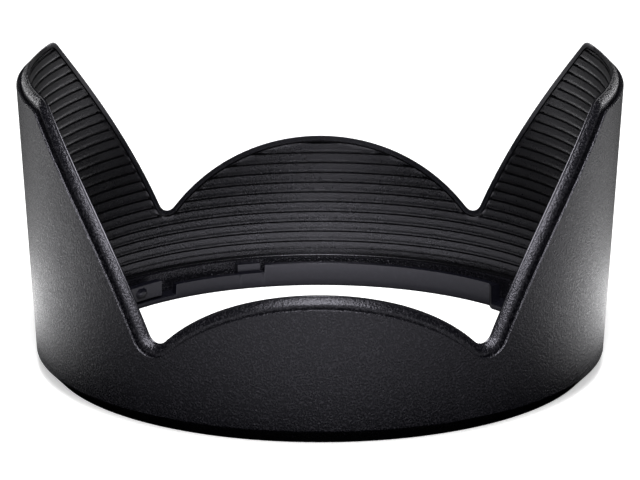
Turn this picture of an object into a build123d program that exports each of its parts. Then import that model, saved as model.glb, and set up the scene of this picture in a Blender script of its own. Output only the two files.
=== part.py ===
"""Petal lens hood: grained outer shell, ribbed light baffle, bayonet ring and two click arms.

Millimetres.  +Z is the optical axis, towards the subject.  The origin is the centre of the base,
on the plane that meets the lens.  The long petals stand at +X and -X, the short ones at -Y and +Y.
Angles round the hood are counted from the front (-Y) towards +X.
"""
from build123d import *
from math import cos, degrees, radians, sin
import os

# ---- overall form -----------------------------------------------------------------------------
FOOT_RADIUS = 41.0            # outer wall where it meets the bevelled foot
FOOT_HEIGHT = 2.3             # height of that corner above the base
BASE_RADIUS = 38.7            # outer edge of the flat base, under the bevel
WALL_FLARE = 0.0633           # outward lean of the wall, radius per height
LONG_PETAL = 43.4             # lip height on the long petals
SHORT_PETAL = 22.1            # lip height at the middle of the short petals
SHORT_PETAL_ARC = 34.8        # radius of the short petal's edge, on the wall laid flat
VALLEY_AT = 25.0              # where the two edges would meet, along the wall from the front
SHOULDER_AT = 47.9            # where the long petal's edge would meet its flat top
EDGE_ARC = 90.0               # radius of the long petal's edge, on the wall laid flat
VALLEY_FILLET = 1.65
SHOULDER_FILLET = 3.4
UNROLL_RADIUS = 40.5          # radius at which lengths along the wall are counted

# ---- walls ------------------------------------------------------------------------------------
SHELL_WALL = 0.75             # outer shell
BAFFLE_WALL = 1.15            # ribbed baffle, pressed into the shell
RIM_STEP = 0.55               # the baffle's edge stands this far above the shell's
RIM_BEVEL_RISE = 1.1          # height of the sloped band of the rim
RIM_BEVEL_DEPTH = 0.95        # and its depth across the wall

# ---- baffle -----------------------------------------------------------------------------------
RIB_PITCH = 1.5
RIB_GROOVE = 0.48             # width of the groove between two ribs, at its mouth
RIB_DEPTH = 0.42
FIRST_GROOVE = 6.05           # height of the lowest groove
RIM_BORDER = 1.25             # plain border between the lip and the ribs
COVE_TOP = 4.9                # the baffle is hollowed out below this height
COVE_DEPTH = 0.4
BAFFLE_FOOT = 3.75            # underside of the baffle
FOOT_LIP = 0.2                # height of the lip along its foot
FOOT_LIP_REACH = 0.35         # and its reach inwards past the ribs

# ---- bayonet ring -----------------------------------------------------------------------------
BAYONET_RADIUS = 35.9
RING_HEIGHT = 3.5
RING_FLANGE = 0.8             # height of the unbroken flange under the ring's segments
RING_SEAT_RADIUS = 38.2       # bore of the shell's foot, in which the ring is bonded
SEGMENT_WALL = 0.9            # the segments stand up from the flange, clear of the shell
BACK_SEGMENT = (133.6, 216.6) # from and to angles of the long segment opposite the front
SIDE_SEGMENT = (65.0, 105.0)
LUG = (106.0, 135.6)          # bayonet lug on the flange, inside the gap between two segments
LUG_REACH = 1.0
NOTCH_AT = 193.7
NOTCH_WIDTH = 0.45
NOTCH_DEPTH = 1.1
SHELF_DROP = 1.15             # the segment is lower beyond the notch
BLOCK_END = 199.5             # a short block stands behind it, from the notch to this angle
BLOCK_GAP = 0.1               # the block's face stands this far behind the segment's back
BLOCK_LAP = 0.3               # and below that face it reaches this far into the segment

# ---- click arms -------------------------------------------------------------------------------
ARM = (220.6, 244.7)          # free end and root of the arm
ARM_WALL = 1.1
ARM_UNDER = 0.3               # clearance under the arm
BUMP_AT = 227.5
BUMP_HEIGHT = 0.4
BUMP_LENGTH = 2.2
BUMP_RISE = 1.5

# ---- pads on the outside ----------------------------------------------------------------------
PAD = (28.0, 39.5)
PAD_TOP = 10.5
PAD_PROUD = 0.14
PAD_GAP = 0.05                # the pads start this far above the foot's corner

# ---- derived ----------------------------------------------------------------------------------
SHORT_ARC_Z = SHORT_PETAL - SHORT_PETAL_ARC
TOP_LEAD = 0.02               # the flat tops are cut this far under the edge outline's plateau
CUT_MARGIN = 2.0              # the edge cut reaches this far past both faces of the wall
BEVEL_MARGIN = 0.4            # and the bevel's cut this far
CUT_TOP = LONG_PETAL + 10
CUT_SIDE = 55.5               # the edge outline ends here, past the shoulder
END_MARGIN = 1.0              # corners nearer than this to the outline's ends are not the wall's
SHELF_OVERRUN = 1.0           # angle by which the shelf's cut runs past the end of the segment
QUARTER = (0, 90)             # angles of the quarter from which the walls are mirrored
SAMPLES = 6                   # points along each stretch of the edge outline


def wall_radius(height, depth=0.0):
    """Radius of the wall at a height, measured depth in from its outer face."""
    return FOOT_RADIUS + WALL_FLARE * (height - FOOT_HEIGHT) - depth


def on_ring(radius, angle, height=0.0):
    """Point at an angle round the hood, counted from the front towards +X."""
    return Vector(radius * sin(radians(angle)), -radius * cos(radians(angle)), height)


def valley_corner():
    """Where the short petal's edge arc stands at VALLEY_AT, on the wall laid flat."""
    return (VALLEY_AT, SHORT_ARC_Z + (SHORT_PETAL_ARC ** 2 - VALLEY_AT ** 2) ** 0.5)


def long_edge_centre():
    """Centre of the long petal's edge arc, on the wall laid flat."""
    low, high = Vector(*valley_corner()), Vector(SHOULDER_AT, LONG_PETAL)
    half = (high - low) * 0.5
    reach = (EDGE_ARC ** 2 - half.length ** 2) ** 0.5
    return low + half + Vector(half.Y, -half.X).normalized() * reach


def clear_of_ends(point):
    """Whether a point of the flat outline is away from its straight sides and bottom."""
    return END_MARGIN < point.X < CUT_SIDE - END_MARGIN and point.Y > END_MARGIN


def edge_points(drop):
    """Edge of the petals laid flat, from the front to the side, moved drop into the wall."""
    centre = long_edge_centre()
    flat_top = LONG_PETAL - drop
    with BuildSketch() as side:
        with Locations((centre.X, centre.Y)):
            Circle(EDGE_ARC - drop)
        with Locations((VALLEY_AT / 2, 0)):
            Rectangle(CUT_SIDE, flat_top, align=Align.MIN, mode=Mode.INTERSECT)
    with BuildSketch() as flat:
        with Locations((0, SHORT_ARC_Z)):
            Circle(SHORT_PETAL_ARC - drop)
        add(side.sketch)
        Rectangle(CUT_SIDE, CUT_TOP, align=Align.MIN, mode=Mode.INTERSECT)
        valley, shoulder = flat.vertices().filter_by(clear_of_ends).sort_by(Axis.X)
        fillet(valley, VALLEY_FILLET + drop)
        fillet(flat.vertices().sort_by_distance(shoulder)[0], SHOULDER_FILLET - drop)
    points = []
    for stretch in flat.edges().filter_by(lambda edge: clear_of_ends(edge.center())).sort_by(Axis.X):
        run = [stretch @ (i / SAMPLES) for i in range(SAMPLES + 1)]
        if run[0].X > run[-1].X:
            run.reverse()
        points += run[1:] if points else run
    return points


def edge_line(drop, depth):
    """The petals' edge on one quarter, wrapped round the wall at a depth from its outer face."""
    quarter = [(p.X, p.Y) for p in edge_points(drop)]
    lead = [(-s, z) for s, z in quarter[2:0:-1]]
    return Spline(*[on_ring(wall_radius(z, depth), degrees(s / UNROLL_RADIUS), z)
                    for s, z in lead + quarter])


def edge_cutter(outer_drop, outer_depth, inner_drop, inner_depth):
    """Everything on one quarter above the surface between two wrapped edge lines."""
    surface = Face.make_surface_from_curves(
        edge_line(outer_drop, outer_depth).edge(), edge_line(inner_drop, inner_depth).edge())
    return extrude(surface, amount=CUT_TOP, dir=(0, 0, 1))


def turned(points, start=0, end=360):
    """Solid turned round the axis from (radius, height) points, between two angles."""
    with BuildPart() as piece:
        with BuildSketch(Plane.YZ):
            with BuildLine():
                Polyline(*[(-radius, height) for radius, height in points], close=True)
            make_face()
        revolve(axis=Axis.Z, revolution_arc=end - start)
    return piece.part.rotate(Axis.Z, start)


def ring_sector(inner, outer, low, high, start=0, end=360):
    """Plain ring, or part of one."""
    return turned([(inner, low), (outer, low), (outer, high), (inner, high)], start, end)


def both_ends(piece):
    """The piece and its copy half a turn round the axis."""
    return [piece, piece.rotate(Axis.Z, 180)]


# ---- outer shell: grained wall, bevelled foot and four shallow pads -----------------------------
# It is made as the quarter from the front to the +X side, then mirrored twice.
shell_drop = RIM_STEP + RIM_BEVEL_RISE
shell_top = LONG_PETAL - shell_drop - TOP_LEAD
pad_low = FOOT_HEIGHT + PAD_GAP
with BuildPart() as outer_shell:
    add(turned([
        (BASE_RADIUS, 0),
        (FOOT_RADIUS, FOOT_HEIGHT),
        (wall_radius(shell_top), shell_top),
        (wall_radius(shell_top, SHELL_WALL), shell_top),
        (wall_radius(BAFFLE_FOOT, SHELL_WALL), BAFFLE_FOOT),
        (RING_SEAT_RADIUS, BAFFLE_FOOT),
        (RING_SEAT_RADIUS, 0),
    ], *QUARTER))
    add(turned([
        (wall_radius(pad_low, SHELL_WALL / 2), pad_low),
        (wall_radius(pad_low) + PAD_PROUD, pad_low),
        (wall_radius(PAD_TOP), PAD_TOP),
        (wall_radius(PAD_TOP, SHELL_WALL / 2), PAD_TOP),
    ], *PAD))
    add(edge_cutter(shell_drop, -CUT_MARGIN, shell_drop, SHELL_WALL + CUT_MARGIN), mode=Mode.SUBTRACT)
    mirror(about=Plane.YZ)
    mirror(about=Plane.XZ)
outer_shell.part.label = "outer_shell"

# ---- light baffle: ribbed inner wall that carries the sloped rim --------------------------------
baffle_depth = SHELL_WALL + BAFFLE_WALL
baffle_top = LONG_PETAL - TOP_LEAD
bevel_low = baffle_top - RIM_BEVEL_RISE
bevel_slope = RIM_BEVEL_RISE / RIM_BEVEL_DEPTH
foot_top = BAFFLE_FOOT + FOOT_LIP
foot_radius = wall_radius(BAFFLE_FOOT, baffle_depth) - FOOT_LIP_REACH
groove_count = int((LONG_PETAL - RIM_BORDER - FIRST_GROOVE) / RIB_PITCH) + 1
with BuildPart() as grooves:
    for i in range(groove_count):
        z = FIRST_GROOVE + i * RIB_PITCH
        face = wall_radius(z, baffle_depth)
        add(turned([
            (face - CUT_MARGIN, z - RIB_GROOVE / 2),
            (face, z - RIB_GROOVE / 2),
            (face + RIB_DEPTH, z - RIB_GROOVE / 4),
            (face + RIB_DEPTH, z + RIB_GROOVE / 4),
            (face, z + RIB_GROOVE / 2),
            (face - CUT_MARGIN, z + RIB_GROOVE / 2),
        ], *QUARTER))
    add(edge_cutter(RIM_BORDER, -CUT_MARGIN, RIM_BORDER, baffle_depth + CUT_MARGIN), mode=Mode.SUBTRACT)
with BuildPart() as light_baffle:
    add(turned([
        (foot_radius, BAFFLE_FOOT),
        (wall_radius(BAFFLE_FOOT, SHELL_WALL), BAFFLE_FOOT),
        (wall_radius(bevel_low, SHELL_WALL), bevel_low),
        (wall_radius(baffle_top, SHELL_WALL + RIM_BEVEL_DEPTH), baffle_top),
        (wall_radius(baffle_top, baffle_depth), baffle_top),
        (wall_radius(COVE_TOP, baffle_depth), COVE_TOP),
        (wall_radius(COVE_TOP, baffle_depth) + COVE_DEPTH, COVE_TOP - COVE_DEPTH / 2),
        (wall_radius(foot_top, baffle_depth) + COVE_DEPTH, foot_top),
        (foot_radius, foot_top),
    ], *QUARTER))
    add(edge_cutter(0, -CUT_MARGIN, 0, baffle_depth + CUT_MARGIN), mode=Mode.SUBTRACT)
    add(edge_cutter(
        RIM_BEVEL_RISE + bevel_slope * BEVEL_MARGIN, SHELL_WALL - BEVEL_MARGIN,
        -bevel_slope * BEVEL_MARGIN, SHELL_WALL + RIM_BEVEL_DEPTH + BEVEL_MARGIN), mode=Mode.SUBTRACT)
    for groove in grooves.solids():
        add(groove, mode=Mode.SUBTRACT)
    mirror(about=Plane.YZ)
    mirror(about=Plane.XZ)
light_baffle.part.label = "light_baffle"

# ---- bayonet ring: flange, four segments, two lugs ----------------------------------------------
segment_back = BAYONET_RADIUS + SEGMENT_WALL
back_segment = ring_sector(BAYONET_RADIUS, segment_back, 0, RING_HEIGHT, *BACK_SEGMENT)
side_segment = ring_sector(BAYONET_RADIUS, segment_back, 0, RING_HEIGHT, *SIDE_SEGMENT)
block = ring_sector(segment_back - BLOCK_LAP, RING_SEAT_RADIUS, 0, RING_HEIGHT, NOTCH_AT, BLOCK_END)
lug = ring_sector(BAYONET_RADIUS - LUG_REACH, BAYONET_RADIUS + LUG_REACH, 0, RING_FLANGE, *LUG)
notch_half = degrees(NOTCH_WIDTH / 2 / BAYONET_RADIUS)
notch = ring_sector(BAYONET_RADIUS - CUT_MARGIN, RING_SEAT_RADIUS + CUT_MARGIN, RING_HEIGHT - NOTCH_DEPTH,
                    RING_HEIGHT + CUT_MARGIN, NOTCH_AT - notch_half, NOTCH_AT + notch_half)
shelf = ring_sector(BAYONET_RADIUS - CUT_MARGIN, segment_back + BLOCK_GAP, RING_HEIGHT - SHELF_DROP,
                    RING_HEIGHT + CUT_MARGIN, NOTCH_AT, BACK_SEGMENT[1] + SHELF_OVERRUN)
with BuildPart() as bayonet_ring:
    add(ring_sector(BAYONET_RADIUS, RING_SEAT_RADIUS, 0, RING_FLANGE))
    for solid in (back_segment, side_segment, block, lug):
        add(both_ends(solid))
    for cut in (notch, shelf):
        add(both_ends(cut), mode=Mode.SUBTRACT)
bayonet_ring.part.label = "bayonet_ring"

# ---- click arms: sprung tongues with a bump that the lens's ramp pushes outwards ----------------
arm_low = RING_FLANGE + ARM_UNDER
bump_height = (arm_low + RING_HEIGHT) / 2
bump_foot = on_ring(BAYONET_RADIUS + ARM_WALL / 2, BUMP_AT, bump_height)
inwards = on_ring(-1, BUMP_AT)
bump_plane = Plane(origin=bump_foot, z_dir=inwards, x_dir=Vector(0, 0, 1).cross(inwards))
with BuildPart() as click_arm:
    add(ring_sector(BAYONET_RADIUS, BAYONET_RADIUS + ARM_WALL, arm_low, RING_HEIGHT, *ARM))
    with BuildSketch(bump_plane):
        Ellipse(BUMP_LENGTH / 2, BUMP_RISE / 2)
    with BuildSketch(bump_plane.offset(ARM_WALL / 2 + BUMP_HEIGHT)):
        Ellipse(BUMP_LENGTH / 4, BUMP_RISE / 4)
    loft()
rear_click_arm, front_click_arm = both_ends(click_arm.part)
rear_click_arm.label = "rear_click_arm"
front_click_arm.label = "front_click_arm"

# ---- one file per piece -------------------------------------------------------------------------
os.makedirs("parts", exist_ok=True)
for piece in (outer_shell.part, light_baffle.part, bayonet_ring.part, rear_click_arm, front_click_arm):
    export_step(piece, f"parts/{piece.label}.step")
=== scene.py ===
"""Looks of a petal lens hood: grained black mouldings on a pale floor, in soft studio light."""
import math

import bmesh
import bpy
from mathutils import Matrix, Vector


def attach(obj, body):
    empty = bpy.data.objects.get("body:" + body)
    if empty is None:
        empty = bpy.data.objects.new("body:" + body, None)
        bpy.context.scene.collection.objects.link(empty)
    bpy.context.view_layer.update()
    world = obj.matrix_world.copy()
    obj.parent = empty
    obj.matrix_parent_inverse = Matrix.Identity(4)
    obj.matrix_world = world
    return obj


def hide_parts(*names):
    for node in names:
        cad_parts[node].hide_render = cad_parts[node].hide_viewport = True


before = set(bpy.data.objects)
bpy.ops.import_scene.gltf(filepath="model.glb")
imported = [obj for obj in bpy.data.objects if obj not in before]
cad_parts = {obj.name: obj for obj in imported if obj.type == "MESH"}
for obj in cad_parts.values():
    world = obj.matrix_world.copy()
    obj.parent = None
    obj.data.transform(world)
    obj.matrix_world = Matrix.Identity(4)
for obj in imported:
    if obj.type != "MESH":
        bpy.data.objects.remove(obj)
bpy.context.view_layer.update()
MM = 0.001

# ---- camera -------------------------------------------------------------------------------------
CAMERA_AT = Vector((0, -958.2, 306.1)) * MM
CAMERA_PITCH = math.radians(16.74)      # below the horizon
CAMERA_LENS = 390.2
SENSOR_WIDTH = 36
CLIP_START, CLIP_END = 0.05, 20         # metres

# ---- petals' edge, on the wall laid flat at UNROLL_RADIUS (millimetres, as in the CAD) -----------
FOOT_RADIUS = 41.0
FOOT_HEIGHT = 2.3
BASE_RADIUS = 38.7
WALL_FLARE = 0.0633
LONG_PETAL = 43.4
SHORT_PETAL = 22.1
SHORT_PETAL_ARC = 34.8
VALLEY_AT = 25.0
SHOULDER_AT = 47.9
EDGE_ARC = 90.0
VALLEY_FILLET = 1.65
SHOULDER_FILLET = 3.4
UNROLL_RADIUS = 40.5

# ---- walls --------------------------------------------------------------------------------------
SHELL_WALL = 0.75
BAFFLE_DEPTH = 1.9            # inner face of the baffle, in from the outer face of the shell
SHELL_DROP = 1.65             # the shell's edge stands this far under the lip
TOP_LEAD = 0.02               # the whole rim of the baffle is cut this far under the edge's outline
RIM_BORDER = 1.0              # the ribs end in a fine groove that follows the lip
BORDER_GROOVE = 0.28          # width of that groove
BORDER_GROOVE_DEPTH = 0.35
RIM_BEVEL_RISE = 1.1
BEVEL_CROWN = 0.04            # the sloped band is a little rounded
BAND_TOP = 0.24               # drop of its upper edge under the lip
BAND_START = 0.27             # and how far that edge lies out from the lip's inner face
LIP_BEAD = 0.22               # width of the bead along the lip
BEAD_EDGE = 0.03              # its inner edge is rounded over this width
BEAD_EDGE_DROP = 0.06         # and over this height
BEAD_SLOPES = (0.32, 0.9)     # its fall outwards, height per width, on its inner and outer half
BAND_LOOPS = 8                # stretches of mesh across the sloped band
BAND_FOOT = (0.02, 0.04)      # rounding under the band: down, and in from the baffle's outer face
SEAM_DEPTH = 0.5              # the shell's edge slopes down to the seam with the baffle
SEAM_LAP = 0.2                # the baffle's outer face starts this far under the seam
EDGE_ROUND = 0.14
# The shell's edge as (drop, depth) points, from the outer face over the rounded edge to the seam.
SHELL_EDGE = ((EDGE_ROUND, 0), (EDGE_ROUND * 0.35, EDGE_ROUND * 0.75), (0, EDGE_ROUND * 1.75),
              (0.07, SHELL_WALL * 0.42), (SEAM_DEPTH, SHELL_WALL))
# The bevelled foot as (radius, height) points, with its two corners rounded.
SHELL_FOOT = ((BASE_RADIUS - EDGE_ROUND, 0), (BASE_RADIUS + EDGE_ROUND * 0.5, EDGE_ROUND * 0.4),
              (FOOT_RADIUS - EDGE_ROUND, FOOT_HEIGHT - EDGE_ROUND),
              (FOOT_RADIUS - EDGE_ROUND * 0.3, FOOT_HEIGHT - EDGE_ROUND * 0.1))

# ---- ribs ---------------------------------------------------------------------------------------
RIB_PITCH = 1.5
RIB_GROOVE = 0.48
RIB_DEPTH = 0.42
FIRST_GROOVE = 6.05
RIB_NOSE = 0.35               # each rib's foot stands proud over this share of its height
RIB_LEAN = 0.04               # and by this much
RIB_LOOPS = (0, 0.12, 0.24, RIB_NOSE, 0.7, 1)   # mesh loops on a rib, as shares of its height
GROOVE_FLOOR = 0.25           # a groove's bottom starts at this share of its width
GROOVE_RUNOUT = 0.2           # the grooves get shallow over this height under the border
COVE_TOP = 4.9                # the baffle is hollowed out below this height
COVE_DEPTH = 0.4
BAFFLE_FOOT = 3.75
FOOT_LIP = 0.2
FOOT_LIP_REACH = 0.35
FOOT_ROUND = 0.05

# ---- bayonet ring and click arms ----------------------------------------------------------------
BAYONET_RADIUS = 35.9
RING_HEIGHT = 3.5
RING_FLANGE = 0.8
RING_SEAT_RADIUS = 38.2
SEGMENT_WALL = 0.9
BACK_SEGMENT = (133.6, 216.6)
SIDE_SEGMENT = (65.0, 105.0)
LUG = (106.0, 135.6)
LUG_REACH = 1.0
LUG_LEAD = 3.0                # angle over which the lug's ends run out
NOTCH_AT = 193.7
NOTCH_WIDTH = 0.45
NOTCH_DEPTH = 1.1
SHELF_DROP = 1.15
BLOCK_END = 199.5
BLOCK_GAP = 0.1
RING_ROUND = 0.1
ROUND_MIDDLE = 0.3            # a rounded corner's middle point, in parts of its size
RING_GAP = 0.02               # the ring is drawn this far clear of its seat
STEP_COLUMNS = (-0.16, -0.02, 0.02, 0.16)   # mesh columns round each step in the ring, as angles
LEAD_COLUMNS = 6              # stretches of mesh in a lug's run-out
COLUMN_GAP = 0.3              # no whole-degree column stands closer than this to one of those
ARM = (220.6, 244.7)
ARM_WALL = 1.1
ARM_UNDER = 0.3
BUMP_AT = 227.5
BUMP_HEIGHT = 0.4
BUMP_LENGTH = 2.2
BUMP_RISE = 1.5
ARM_END = 0.3                 # the arm's free end is drawn this angle short
ARM_COLUMN = 0.25             # angle between the mesh's columns along the arm
ARM_LOOPS = 14                # stretches of mesh up the arm's inner face

# ---- pads on the outside ------------------------------------------------------------------------
PAD = (28.0, 39.5)
PAD_TOP = 10.5
PAD_PROUD = 0.14

# Stretches of the wall laid flat, from the front to the side, with the columns of mesh in each.
COLUMN_STRETCHES = ((0, 21, 20), (21, 31.5, 42), (31.5, 44.5, 26), (44.5, 51, 18),
                    (51, UNROLL_RADIUS * math.pi / 2, 10))
PAD_EDGE = 0.06               # half the width of a pad's edge, as an angle
PAD_LOOPS = (4.5, 6.5, 8.5, PAD_TOP)    # heights of the mesh's loops over the pads
WALL_LOOPS = (0.5, 0.9)       # and of the loops above them, as shares of the way to the edge
WELD = 0.002                  # points closer together than this are one
SHARP_ANGLE = 32              # edges sharper than this are creased


# ---- the petals' edge ---------------------------------------------------------------------------
def crossing(centre_a, radius_a, centre_b, radius_b):
    """The upper of the two points where two circles cross."""
    between = centre_b - centre_a
    along = (radius_a ** 2 - radius_b ** 2 + between.length_squared) / (2 * between.length)
    across = math.sqrt(radius_a ** 2 - along ** 2)
    direction = between.normalized()
    return centre_a + direction * along + Vector((-direction.y, direction.x)) * across


SHORT_CENTRE = Vector((0, SHORT_PETAL - SHORT_PETAL_ARC))
LOW_CORNER = Vector((VALLEY_AT, SHORT_CENTRE.y + math.sqrt(SHORT_PETAL_ARC ** 2 - VALLEY_AT ** 2)))
HALF_EDGE = (Vector((SHOULDER_AT, LONG_PETAL)) - LOW_CORNER) / 2
LONG_CENTRE = LOW_CORNER + HALF_EDGE + (Vector((HALF_EDGE.y, -HALF_EDGE.x)).normalized()
                                        * math.sqrt(EDGE_ARC ** 2 - HALF_EDGE.length_squared))
VALLEY = crossing(SHORT_CENTRE, SHORT_PETAL_ARC + VALLEY_FILLET,
                  LONG_CENTRE, EDGE_ARC + VALLEY_FILLET)
SHOULDER_HEIGHT = LONG_PETAL - SHOULDER_FILLET
SHOULDER = Vector((LONG_CENTRE.x - math.sqrt((EDGE_ARC - SHOULDER_FILLET) ** 2
                                             - (SHOULDER_HEIGHT - LONG_CENTRE.y) ** 2), SHOULDER_HEIGHT))


def on_circle(centre, radius, s, side=1):
    """Height of a circle at s, on its upper or its lower side."""
    return centre.y + side * math.sqrt(max(radius ** 2 - (s - centre.x) ** 2, 0))


def folded(angle):
    """The same place on the quarter between the front and the side."""
    return min(angle % 180, 180 - angle % 180)


def edge_height(drop, angle):
    """Height of the petals' edge, moved drop into the wall, at an angle from the front."""
    s = UNROLL_RADIUS * math.radians(folded(angle))
    short, long = SHORT_PETAL_ARC - drop, EDGE_ARC - drop
    if s <= VALLEY.x * short / (SHORT_PETAL_ARC + VALLEY_FILLET):
        return on_circle(SHORT_CENTRE, short, s)
    if s <= LONG_CENTRE.x + (VALLEY.x - LONG_CENTRE.x) * long / (EDGE_ARC + VALLEY_FILLET):
        return on_circle(VALLEY, VALLEY_FILLET + drop, s, -1)
    if s <= LONG_CENTRE.x + (SHOULDER.x - LONG_CENTRE.x) * long / (EDGE_ARC - SHOULDER_FILLET):
        return on_circle(LONG_CENTRE, long, s)
    if s < SHOULDER.x:
        return on_circle(SHOULDER, SHOULDER_FILLET - drop, s)
    return LONG_PETAL - drop


def wall_radius(height, depth=0.0):
    return FOOT_RADIUS + WALL_FLARE * (height - FOOT_HEIGHT) - depth


# ---- mesh building ------------------------------------------------------------------------------
def column_angles():
    """Angles of the mesh's columns round the wall, closer together where its edge turns."""
    quarter = []
    for start, end, count in COLUMN_STRETCHES:
        quarter += [math.degrees((start + (end - start) * i / count) / UNROLL_RADIUS)
                    for i in range(count)]
    quarter += [angle + side for angle in PAD for side in (-PAD_EDGE, PAD_EDGE)] + [90.0]
    quarter.sort()
    half = quarter + [180 - angle for angle in reversed(quarter[:-1])]
    return half + [180 + angle for angle in half[1:-1]]


def skin(name, section, angles, closed=True, bands=()):
    """Closed skin over sections, each a loop of (radius, height) points at one angle.
    Each of the bands is a range of the loop's stretches that gets the next material."""
    mesh = bmesh.new()
    columns = []
    for angle in angles:
        turn = math.radians(angle)
        columns.append([
            mesh.verts.new((radius * math.sin(turn) * MM, -radius * math.cos(turn) * MM, height * MM))
            for radius, height in section(angle)])
    count = len(columns[0])
    for i in range(len(columns) - (0 if closed else 1)):
        near, far = columns[i], columns[(i + 1) % len(columns)]
        for k in range(count):
            face = mesh.faces.new((near[k], near[(k + 1) % count], far[(k + 1) % count], far[k]))
            face.material_index = sum(i + 1 for i, band in enumerate(bands) if k in band)
    if not closed:
        mesh.faces.new(columns[0])
        mesh.faces.new(columns[-1])
    bmesh.ops.remove_doubles(mesh, verts=mesh.verts, dist=WELD * MM)
    bmesh.ops.recalc_face_normals(mesh, faces=mesh.faces)
    for face in mesh.faces:
        face.smooth = True
    for edge in mesh.edges:
        if len(edge.link_faces) == 2 and edge.calc_face_angle(0) > math.radians(SHARP_ANGLE):
            edge.smooth = False
    data = bpy.data.meshes.new(name)
    mesh.to_mesh(data)
    mesh.free()
    piece = bpy.data.objects.new(name, data)
    bpy.context.scene.collection.objects.link(piece)
    shading = piece.modifiers.new("even_shading", "WEIGHTED_NORMAL")
    shading.keep_sharp = True
    return piece


# ---- outer shell --------------------------------------------------------------------------------
def shell_section(angle):
    """The shell at an angle, from its base up the outer face, over its edge and down to the ring."""
    proud = PAD_PROUD if PAD[0] < folded(angle) < PAD[1] else 0
    pad_low = FOOT_HEIGHT + EDGE_ROUND
    points = [*SHELL_FOOT, (wall_radius(pad_low) + proud, pad_low)]
    for height in PAD_LOOPS:
        points.append((wall_radius(height) + proud * (PAD_TOP - height) / (PAD_TOP - pad_low), height))
    edge = edge_height(SHELL_DROP + EDGE_ROUND, angle)
    for share in WALL_LOOPS:
        height = PAD_TOP + (edge - PAD_TOP) * share
        points.append((wall_radius(height), height))
    for drop, depth in SHELL_EDGE:
        height = edge_height(SHELL_DROP + drop, angle)
        points.append((wall_radius(height, depth), height))
    return points + [(wall_radius(BAFFLE_FOOT, SHELL_WALL), BAFFLE_FOOT),
                     (RING_SEAT_RADIUS, BAFFLE_FOOT), (RING_SEAT_RADIUS, 0)]


# ---- light baffle -------------------------------------------------------------------------------
def rib_levels():
    """Heights up the ribbed wall, each with how far the face lies behind the ribs' feet."""
    levels = []
    low = COVE_TOP
    count = int((LONG_PETAL - RIM_BORDER - FIRST_GROOVE) / RIB_PITCH) + 1
    for i in range(count):
        groove = FIRST_GROOVE + i * RIB_PITCH
        high = groove - RIB_GROOVE / 2
        for share in RIB_LOOPS:
            nose = max(1 - share / RIB_NOSE, 0) ** 2
            levels.append((low + (high - low) * share, RIB_LEAN * (1 - nose)))
        levels.append((groove - RIB_GROOVE * GROOVE_FLOOR, RIB_DEPTH))
        levels.append((groove + RIB_GROOVE * GROOVE_FLOOR, RIB_DEPTH))
        low = groove + RIB_GROOVE / 2
    return levels + [(low, 0)]


def baffle_rim():
    """The rim's cross-section as (drop, depth) points, from the inner face over the lip and down."""
    lip = BAFFLE_DEPTH
    half = (LIP_BEAD - BEAD_EDGE) / 2
    bead = [(BEAD_EDGE_DROP, lip), (0, lip - BEAD_EDGE), (BEAD_SLOPES[0] * half, lip - BEAD_EDGE - half),
            (sum(BEAD_SLOPES) * half, lip - LIP_BEAD), (BAND_TOP, lip - LIP_BEAD - BEAD_EDGE)]
    band = []
    across = BAFFLE_DEPTH - SHELL_WALL - BAND_START
    for i in range(1, BAND_LOOPS):
        t = i / BAND_LOOPS
        crown = BEVEL_CROWN * 4 * t * (1 - t)
        band.append((BAND_TOP + (RIM_BEVEL_RISE - BAND_TOP) * t - crown,
                     lip - BAND_START - across * t - crown))
    corner = [(RIM_BEVEL_RISE + BAND_FOOT[0], SHELL_WALL + BAND_FOOT[1]),
              (RIM_BEVEL_RISE + EDGE_ROUND, SHELL_WALL),
              (SHELL_DROP + SEAM_DEPTH + SEAM_LAP, SHELL_WALL)]
    return bead + band + corner


RIB_LEVELS = rib_levels()
BAFFLE_RIM = baffle_rim()
LIP_LOOPS = 5                 # the first of those points are the bead along the lip
GROOVE_BACK = BAFFLE_DEPTH - BORDER_GROOVE_DEPTH
BORDER_LINE = [(RIM_BORDER - BORDER_GROOVE * GROOVE_FLOOR, GROOVE_BACK),
               (RIM_BORDER - BORDER_GROOVE * (1 - GROOVE_FLOOR), GROOVE_BACK),
               (RIM_BORDER - BORDER_GROOVE, BAFFLE_DEPTH)]


def baffle_section(angle):
    """The baffle at an angle, from its underside up the ribs, over the rim and down to the seam."""
    border = edge_height(RIM_BORDER, angle)
    foot_top = BAFFLE_FOOT + FOOT_LIP
    foot_radius = wall_radius(BAFFLE_FOOT, BAFFLE_DEPTH) - FOOT_LIP_REACH
    cove = wall_radius(COVE_TOP, BAFFLE_DEPTH) + COVE_DEPTH
    points = [(wall_radius(BAFFLE_FOOT, SHELL_WALL), BAFFLE_FOOT), (foot_radius + FOOT_ROUND, BAFFLE_FOOT),
              (foot_radius, BAFFLE_FOOT + FOOT_ROUND), (foot_radius, foot_top - FOOT_ROUND),
              (foot_radius + FOOT_ROUND, foot_top), (cove, foot_top), (cove, COVE_TOP - COVE_DEPTH / 2)]
    for level, behind in RIB_LEVELS:
        height = min(level, border)
        fade = min((border - height) / GROOVE_RUNOUT, 1)
        points.append((wall_radius(height, BAFFLE_DEPTH) + behind * fade, height))
    points.append((wall_radius(border, BAFFLE_DEPTH), border))
    for drop, depth in BORDER_LINE + BAFFLE_RIM:
        height = edge_height(drop + TOP_LEAD, angle)
        points.append((wall_radius(height, depth), height))
    return points


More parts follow.
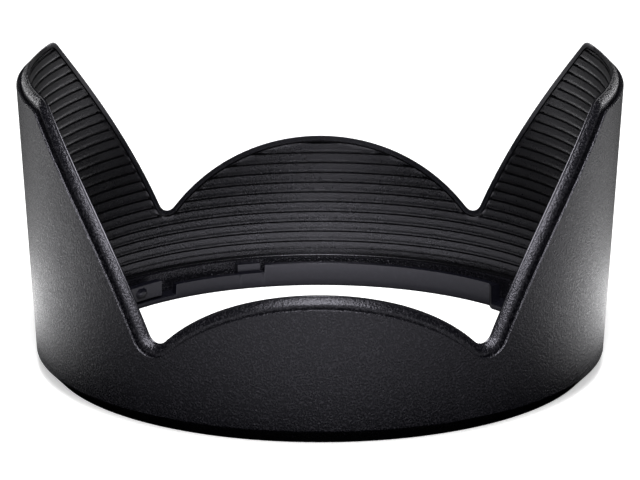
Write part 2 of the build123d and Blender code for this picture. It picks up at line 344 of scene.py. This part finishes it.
# ---- bayonet ring -------------------------------------------------------------------------------
def ring_shape(angle):
    """Bore radius, segment height, where the segment ends outwards, and the height behind it."""
    half_turn = angle % 180
    notch_half = math.degrees(NOTCH_WIDTH / 2 / BAYONET_RADIUS)
    bore, height, back, behind = BAYONET_RADIUS, RING_FLANGE, BAYONET_RADIUS + SEGMENT_WALL, RING_FLANGE
    lead = min((half_turn - LUG[0]) / LUG_LEAD, (LUG[1] - half_turn) / LUG_LEAD, 1)
    if lead > 0:
        bore -= LUG_REACH * math.sin(lead * math.pi / 2)
    in_back = BACK_SEGMENT[0] < half_turn or half_turn < BACK_SEGMENT[1] - 180
    if SIDE_SEGMENT[0] < half_turn < SIDE_SEGMENT[1] or in_back:
        height = RING_HEIGHT
    beyond = NOTCH_AT - 180 < half_turn < BACK_SEGMENT[1] - 180
    if beyond:
        height -= SHELF_DROP
    if beyond and half_turn < BLOCK_END - 180:
        back, behind = back + BLOCK_GAP, RING_HEIGHT
    if abs(half_turn - (NOTCH_AT - 180)) < notch_half:
        height = RING_HEIGHT - NOTCH_DEPTH
        behind = min(behind, height)
    return bore, height, back, behind


def ring_angles():
    """Columns every degree, closer together at each end of a segment, block, notch and lug."""
    notch_half = math.degrees(NOTCH_WIDTH / 2 / BAYONET_RADIUS)
    steps = [*SIDE_SEGMENT, BACK_SEGMENT[0], BACK_SEGMENT[1] - 180, NOTCH_AT - 180 - notch_half,
             NOTCH_AT - 180 + notch_half, BLOCK_END - 180]
    half = [step + side for step in steps for side in STEP_COLUMNS]
    half += [end + side * LUG_LEAD * i / LEAD_COLUMNS
             for end, side in ((LUG[0], 1), (LUG[1], -1)) for i in range(LEAD_COLUMNS + 1)]
    half += [float(i) for i in range(180) if all(abs(i - known) > COLUMN_GAP for known in half)]
    half.sort()
    return half + [180 + angle for angle in half]


def ring_section(angle):
    """The ring at an angle, from its underside up the bore, over the segment and down its seat."""
    bore, height, back, behind = ring_shape(angle)
    bevel = RING_ROUND
    points = [(bore + bevel, 0), (bore, bevel), (bore, height - bevel),
              (bore + bevel * ROUND_MIDDLE, height - bevel * ROUND_MIDDLE), (bore + bevel, height)]
    points += [(back - bevel, height), (back, max(min(height, behind), height - bevel)), (back, behind)]
    return points + [(RING_SEAT_RADIUS - RING_GAP, behind), (RING_SEAT_RADIUS - RING_GAP, 0)]


# ---- click arms ---------------------------------------------------------------------------------
def arm_angles(turn):
    """Columns along the arm, turned round the hood.  The stretch at its root is the longest."""
    start = ARM[0] + 2 * ARM_COLUMN
    count = int((ARM[1] - start) / ARM_COLUMN) - 1
    middle = [start + ARM_COLUMN * i for i in range(count)]
    return [angle + turn for angle in (ARM[0] + ARM_END, *middle, ARM[1])]


def arm_section(turn):
    """Section of the arm at an angle, with the bump on its inner face."""
    low, high = RING_FLANGE + ARM_UNDER, RING_HEIGHT
    middle = (low + high) / 2

    def section(angle):
        along = math.radians(angle - turn - BUMP_AT) * BAYONET_RADIUS
        points = [(BAYONET_RADIUS + RING_ROUND, low)]
        for i in range(ARM_LOOPS + 1):
            height = low + RING_ROUND + (high - low - 2 * RING_ROUND) * i / ARM_LOOPS
            away = math.hypot(along / (BUMP_LENGTH / 2), (height - middle) / (BUMP_RISE / 2))
            bump = BUMP_HEIGHT * math.sqrt(max(1 - away ** 2, 0))
            points.append((BAYONET_RADIUS - bump, height))
        outer = BAYONET_RADIUS + ARM_WALL
        return points + [(BAYONET_RADIUS + RING_ROUND, high), (outer - RING_ROUND, high),
                         (outer, high - RING_ROUND), (outer, low)]
    return section


# ---- materials ----------------------------------------------------------------------------------
def new_material(name):
    material = bpy.data.materials.new(name)
    material.use_nodes = True
    nodes = material.node_tree.nodes
    return material, nodes, material.node_tree.links, nodes["Principled BSDF"]


def noise(nodes, links, coordinates, scale, detail=3.0, roughness=0.6):
    node = nodes.new("ShaderNodeTexNoise")
    node.inputs["Scale"].default_value = scale
    node.inputs["Detail"].default_value = detail
    node.inputs["Roughness"].default_value = roughness
    links.new(coordinates, node.inputs["Vector"])
    return node.outputs["Fac"]


def remap(nodes, links, value, from_low, from_high, to_low, to_high):
    node = nodes.new("ShaderNodeMapRange")
    for name, number in (("From Min", from_low), ("From Max", from_high),
                         ("To Min", to_low), ("To Max", to_high)):
        node.inputs[name].default_value = number
    links.new(value, node.inputs["Value"])
    return node.outputs["Result"]


def arithmetic(nodes, links, operation, value, other):
    """A sum or a product of a value and another value or a plain number."""
    node = nodes.new("ShaderNodeMath")
    node.operation = operation
    links.new(value, node.inputs[0])
    if isinstance(other, float):
        node.inputs[1].default_value = other
    else:
        links.new(other, node.inputs[1])
    return node.outputs["Value"]


def plus(nodes, links, value, other):
    return arithmetic(nodes, links, "ADD", value, other)


def times(nodes, links, value, other):
    return arithmetic(nodes, links, "MULTIPLY", value, other)


SHEEN_TINT = (0.90, 0.88, 1.0, 1)
PATCH_MM = 9                  # size of the broad patches of uneven roughness
PATCH_SPREAD = 0.03
GRAIN_RANGE = (0.35, 0.7)     # the part of the noise's range that the roughness follows
PATCH_RANGE = (0.3, 0.7)
FLECK_RANGE = (0.50, 0.72)    # and the part over which the colour turns from dark to light


def plastic(name, dark, light, rough, grain_mm, grain_depth_mm, speckle=0.0):
    """Moulded black plastic: spark-eroded grain as bump, with uneven roughness and colour."""
    material, nodes, links, shader = new_material(name)
    coordinates = nodes.new("ShaderNodeTexCoord").outputs["Object"]
    grain = noise(nodes, links, coordinates, 1 / (grain_mm * MM))
    patches = noise(nodes, links, coordinates, 1 / (PATCH_MM * MM))
    colour = nodes.new("ShaderNodeValToRGB")
    for element, position, tone in zip(colour.color_ramp.elements, FLECK_RANGE, (dark, light)):
        element.position = position
        element.color = (*tone, 1)
    links.new(grain, colour.inputs["Fac"])
    links.new(colour.outputs["Color"], shader.inputs["Base Color"])
    fine = remap(nodes, links, grain, *GRAIN_RANGE, rough + speckle, rough - speckle)
    broad = remap(nodes, links, patches, *PATCH_RANGE, -PATCH_SPREAD, PATCH_SPREAD)
    links.new(plus(nodes, links, fine, broad), shader.inputs["Roughness"])
    shader.inputs["Specular Tint"].default_value = SHEEN_TINT
    bump = nodes.new("ShaderNodeBump")
    bump.inputs["Distance"].default_value = grain_depth_mm * MM
    bump.inputs["Strength"].default_value = 1
    links.new(grain, bump.inputs["Height"])
    links.new(bump.outputs["Normal"], shader.inputs["Normal"])
    return material


def place(piece, node, body, slot, *materials):
    """Puts a piece in a CAD node's place, on its body, with its materials."""
    for material in materials:
        piece.data.materials.append(material)
    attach(piece, body)
    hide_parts(node)


# ---- stage --------------------------------------------------------------------------------------
FLOOR_SIZE = 3.0
FLOOR_WHITE = 0.9
FLOOR_LIFT = 0.5              # emission that makes the floor pure white to the camera
# Light that the floor sends up to the hood, as the sum of three glows.  Each has its strength, its stops
# by distance from the axis in parts of SHADE_REACH, and its stops by direction, from the front (0) over
# the sides (0.5) to the back (1).  It is dark where the hood's wall shades the floor.
SHADE_REACH = 0.1
INSIDE_GLOW = (
    5.3,
    ((0.0, 1.0), (0.19, 1.0), (0.235, 0.19), (0.32, 0.20), (0.35, 0.07), (0.37, 0.0)),
    ((0.0, 1.0), (0.15, 0.6), (0.35, 0.1), (0.75, 0.05), (0.92, 0.7), (1.0, 1.0)))
OUTSIDE_GLOW = (
    1.1,
    ((0.47, 0.0), (0.55, 0.05), (0.62, 0.75), (0.70, 1.05)),
    ((0.0, 1.0), (0.10, 0.6), (0.25, 0.3), (0.42, 0.4), (0.55, 0.6), (0.76, 0.9), (0.84, 0.35),
     (0.90, 0.05), (0.975, 0.02), (1.0, 0.14)))
CLOSE_SIDES_GLOW = (
    2.5,
    ((0.43, 0.0), (0.50, 0.7), (0.56, 1.0), (0.64, 1.0), (0.80, 0.15), (1.0, 0.0)),
    ((0.30, 0.0), (0.42, 0.3), (0.55, 0.65), (0.72, 1.0), (0.80, 0.3), (0.88, 0.0)))
WORLD_STRENGTH = 0.03
SOFTBOX_TARGET = (0, 0, 0.02)
SOFTBOXES = (                 # name, place, size, power
    ("top_softbox", (0, -0.45, 1.1), (0.3, 0.6), 12),
    ("front_softbox", (0, -0.95, 0.72), (0.3, 0.6), 12),
    ("left_softbox", (-0.85, 0.9, 0.16), (0.7, 0.26), 2.7),
    ("right_softbox", (0.85, 0.9, 0.16), (0.7, 0.26), 2.7),
)


def ramp(nodes, links, value, stops):
    """A brightness that follows a value through (position, brightness) stops."""
    node = nodes.new("ShaderNodeValToRGB")
    elements = node.color_ramp.elements
    for position, brightness in stops[1:-1]:
        elements.new(position).color = (brightness, brightness, brightness, 1)
    for element, (position, brightness) in ((elements[0], stops[0]), (elements[-1], stops[-1])):
        element.position, element.color = position, (brightness, brightness, brightness, 1)
    links.new(value, node.inputs["Fac"])
    return node.outputs["Color"]


def make_floor():
    """White floor.  The hood sees it darker close by, where its own shade lies."""
    data = bpy.data.meshes.new("floor")
    data.from_pydata([(-FLOOR_SIZE, -FLOOR_SIZE, 0), (FLOOR_SIZE, -FLOOR_SIZE, 0),
                      (FLOOR_SIZE, FLOOR_SIZE, 0), (-FLOOR_SIZE, FLOOR_SIZE, 0)], [], [(0, 1, 2, 3)])
    floor = bpy.data.objects.new("floor", data)
    bpy.context.scene.collection.objects.link(floor)
    material, nodes, links, shader = new_material("floor_white")
    shader.inputs["Base Color"].default_value = (FLOOR_WHITE, FLOOR_WHITE, FLOOR_WHITE, 1)
    shader.inputs["Roughness"].default_value = 0.9
    shader.inputs["Emission Color"].default_value = (1, 1, 1, 1)
    shader.inputs["Emission Strength"].default_value = FLOOR_LIFT
    place_on_floor = nodes.new("ShaderNodeTexCoord").outputs["Object"]
    length = nodes.new("ShaderNodeVectorMath")
    length.operation = "LENGTH"
    links.new(place_on_floor, length.inputs[0])
    direction = nodes.new("ShaderNodeVectorMath")
    direction.operation = "NORMALIZE"
    links.new(place_on_floor, direction.inputs[0])
    parts = nodes.new("ShaderNodeSeparateXYZ")
    links.new(direction.outputs["Vector"], parts.inputs["Vector"])
    distance = remap(nodes, links, length.outputs["Value"], 0, SHADE_REACH, 0, 1)
    around = remap(nodes, links, parts.outputs["Y"], -1, 1, 0, 1)
    total = None
    for strength, distance_stops, direction_stops in (INSIDE_GLOW, OUTSIDE_GLOW, CLOSE_SIDES_GLOW):
        glow = times(nodes, links, ramp(nodes, links, distance, distance_stops), strength)
        glow = times(nodes, links, glow, ramp(nodes, links, around, direction_stops))
        total = glow if total is None else plus(nodes, links, total, glow)
    seen = nodes.new("ShaderNodeEmission")
    links.new(total, seen.inputs["Strength"])
    mix = nodes.new("ShaderNodeMixShader")
    links.new(nodes.new("ShaderNodeLightPath").outputs["Is Camera Ray"], mix.inputs["Fac"])
    links.new(seen.outputs["Emission"], mix.inputs[1])
    links.new(shader.outputs["BSDF"], mix.inputs[2])
    links.new(mix.outputs["Shader"], nodes["Material Output"].inputs["Surface"])
    data.materials.append(material)


def softbox(name, location, size, power):
    """Rectangular light that faces the hood."""
    data = bpy.data.lights.new(name, "AREA")
    data.shape = "RECTANGLE"
    data.size, data.size_y = size
    data.energy = power
    light = bpy.data.objects.new(name, data)
    light.location = location
    facing = Vector(SOFTBOX_TARGET) - Vector(location)
    light.rotation_euler = facing.to_track_quat("-Z", "Y").to_euler()
    bpy.context.scene.collection.objects.link(light)


def make_world(strength):
    world = bpy.data.worlds.new("white_tent")
    bpy.context.scene.world = world
    world.use_nodes = True
    background = world.node_tree.nodes["Background"]
    background.inputs["Color"].default_value = (1, 1, 1, 1)
    background.inputs["Strength"].default_value = strength


def make_camera():
    data = bpy.data.cameras.new("camera")
    data.sensor_width = SENSOR_WIDTH
    data.lens = CAMERA_LENS
    data.clip_start = CLIP_START
    data.clip_end = CLIP_END
    camera = bpy.data.objects.new("camera", data)
    camera.location = CAMERA_AT
    camera.rotation_euler = (math.pi / 2 - CAMERA_PITCH, 0, 0)
    bpy.context.scene.collection.objects.link(camera)
    bpy.context.scene.camera = camera


make_camera()
bpy.context.scene.view_settings.view_transform = "Standard"
make_world(WORLD_STRENGTH)
make_floor()
for light_settings in SOFTBOXES:
    softbox(*light_settings)

# ---- the hood -----------------------------------------------------------------------------------
shell_plastic = plastic("grained_black", (0.002, 0.002, 0.003), (0.016, 0.015, 0.019),
                        rough=0.28, grain_mm=0.3, grain_depth_mm=0.14, speckle=0.08)
baffle_plastic = plastic("baffle_black", (0.001, 0.001, 0.001), (0.004, 0.004, 0.006),
                         rough=0.3, grain_mm=0.3, grain_depth_mm=0.04, speckle=0.05)
# Rim band: the grain pattern is the plastic's own, but its light flecks are painted sparkle highlights.
# They make this a lighter copy of the baffle's black where the band faces the lights.
rim_painted_sparkle_plastic = plastic("rim_black_painted_sparkle", (0.001, 0.001, 0.002), (0.030, 0.029, 0.034),
                      rough=0.26, grain_mm=0.3, grain_depth_mm=0.10, speckle=0.08)
lip_plastic = plastic("lip_black", (0.003, 0.003, 0.004), (0.006, 0.006, 0.008),
                      rough=0.25, grain_mm=0.5, grain_depth_mm=0.002)
ring_plastic = plastic("ring_black", (0.002, 0.002, 0.004), (0.006, 0.006, 0.009),
                       rough=0.3, grain_mm=0.5, grain_depth_mm=0.01)

wall_angles = column_angles()
shell_piece = skin("shell_moulding", shell_section, wall_angles)
place(shell_piece, "outer_shell", "hood", "outer_shell", shell_plastic)

lip_start = len(baffle_section(0)) - len(BAFFLE_RIM) - 1
band_start = lip_start + LIP_LOOPS
baffle_piece = skin("baffle_moulding", baffle_section, wall_angles,
                    bands=(range(band_start, band_start + len(BAFFLE_RIM)),
                           range(lip_start, band_start)))
place(baffle_piece, "light_baffle", "hood", "light_baffle", baffle_plastic, rim_painted_sparkle_plastic, lip_plastic)

ring_piece = skin("bayonet_moulding", ring_section, ring_angles())
place(ring_piece, "bayonet_ring", "hood", "bayonet_ring", ring_plastic)

for side, turn in (("rear", 0), ("front", 180)):
    arm_piece = skin(f"{side}_arm_moulding", arm_section(turn), arm_angles(turn), closed=False)
    place(arm_piece, f"{side}_click_arm", f"{side}_arm", "click_arms", ring_plastic)
